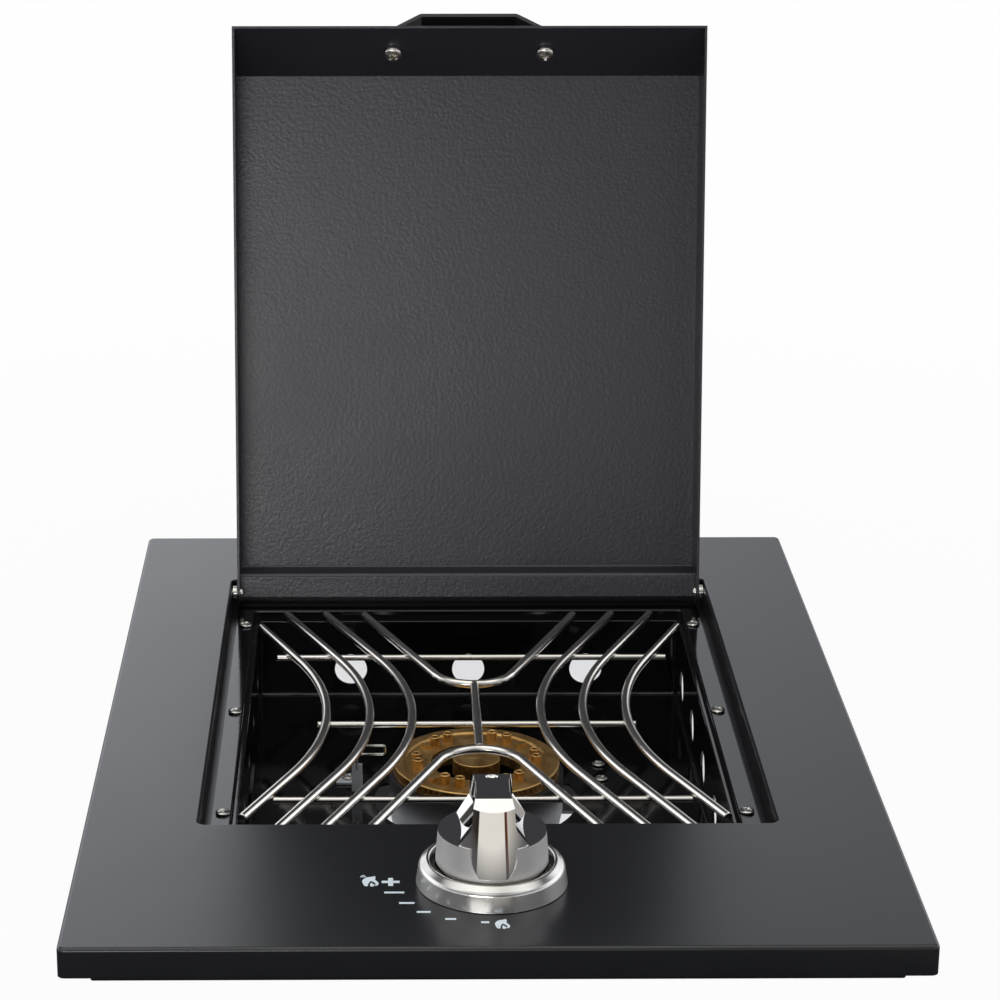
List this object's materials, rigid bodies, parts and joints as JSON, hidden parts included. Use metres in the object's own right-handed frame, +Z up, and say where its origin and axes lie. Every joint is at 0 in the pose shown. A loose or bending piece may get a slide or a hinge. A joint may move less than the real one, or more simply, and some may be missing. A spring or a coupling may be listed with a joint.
{
  "type": "built in side burner",
  "caption": "Drop-in side burner: sheet-metal cooktop plate, recessed tray, round gas burner, rod pan support, hinged lid with handle, push-and-turn knob.",
  "frame": {"origin": "middle of the underside of the plate's front return lip, where it rests on the worktop", "axes": "+X to the right seen from the front, +Y to the back, +Z up out of the worktop"},
  "size_m": [0.34, 0.48, 0.3709],
  "materials": {
    "plate_black": "satin black powder coat",
    "tray_black": "gloss black enamel",
    "lid_grey": "dark grey textured enamel",
    "handle_black": "satin black powder coat",
    "stainless": "bright stainless rod",
    "plated": "zinc plated steel",
    "burner_brass": "aged machined brass",
    "cup_iron": "dark grey cast iron",
    "chrome": "polished chrome plate",
    "satin_chrome": "satin chrome plate",
    "spring_steel": "spring steel",
    "black_plastic": "moulded plastic",
    "pipe_copper": "drawn copper pipe"
  },
  "bodies": {
    "cooktop": {"hob_plate": "plate_black", "burner_tray": "tray_black", "tray_screw_left_front": "plated", "tray_screw_left_middle": "plated", "tray_screw_left_rear": "plated", "tray_screw_right_front": "plated", "tray_screw_right_middle": "plated", "tray_screw_right_rear": "plated", "hinge_pin_left": "stainless", "hinge_pin_right": "stainless", "hinge_washer_left": "plated", "hinge_washer_right": "plated", "burner_cup": "cup_iron", "mixing_tube": "plated", "burner_strap": "plate_black", "strap_screw_left_front": "plated", "strap_screw_left_rear": "plated", "strap_screw_right_front": "plated", "strap_screw_right_rear": "plated", "igniter_bracket": "plated", "igniter_electrode": "stainless", "knob_bezel": "satin_chrome", "valve_body": "burner_brass", "valve_screw_left": "plated", "valve_screw_right": "plated", "ignition_switch": "black_plastic", "supply_pipe": "pipe_copper", "gas_nozzle": "burner_brass", "gas_inlet": "burner_brass"},
    "lid_leaf": {"lid": "lid_grey", "lid_handle": "handle_black", "handle_screw_left": "stainless", "handle_screw_right": "stainless"},
    "support": {"pan_support": "stainless"},
    "flame_ring": {"burner_ring": "burner_brass"},
    "flame_cap": {"burner_cap": "burner_brass"},
    "push_collar": {"valve_plunger": "plated", "valve_spring": "spring_steel"},
    "turning": {"knob": "chrome", "valve_stem": "plated"}
  },
  "joints": [
    {"name": "lid_hinge", "type": "hinge", "parent": "cooktop", "child": "lid_leaf", "pos_m": [0, 0.3991, 0.0097], "axis": [1, 0, 0], "range_deg": [0, 99]},
    {"name": "support_lift", "type": "slide", "parent": "cooktop", "child": "support", "axis": [0, 0, 1], "range_m": [0, 0.011]},
    {"name": "ring_lift", "type": "slide", "parent": "cooktop", "child": "flame_ring", "axis": [0, 0, 1], "range_m": [0, 0.008]},
    {"name": "cap_lift", "type": "slide", "parent": "cooktop", "child": "flame_cap", "axis": [0, 0, 1], "range_m": [0, 0.008]},
    {"name": "knob_push", "type": "slide", "parent": "cooktop", "child": "push_collar", "axis": [0, 0, -1], "range_m": [0, 0.0035], "stiffness_N_per_m": 1500, "springref_m": -0.006, "deforming": ["valve_spring"]},
    {"name": "knob_turn", "type": "hinge", "parent": "push_collar", "child": "turning", "pos_m": [-0.0006, 0.05165, 0], "axis": [0, 0, 1], "range_deg": [0, 180]}
  ]
}
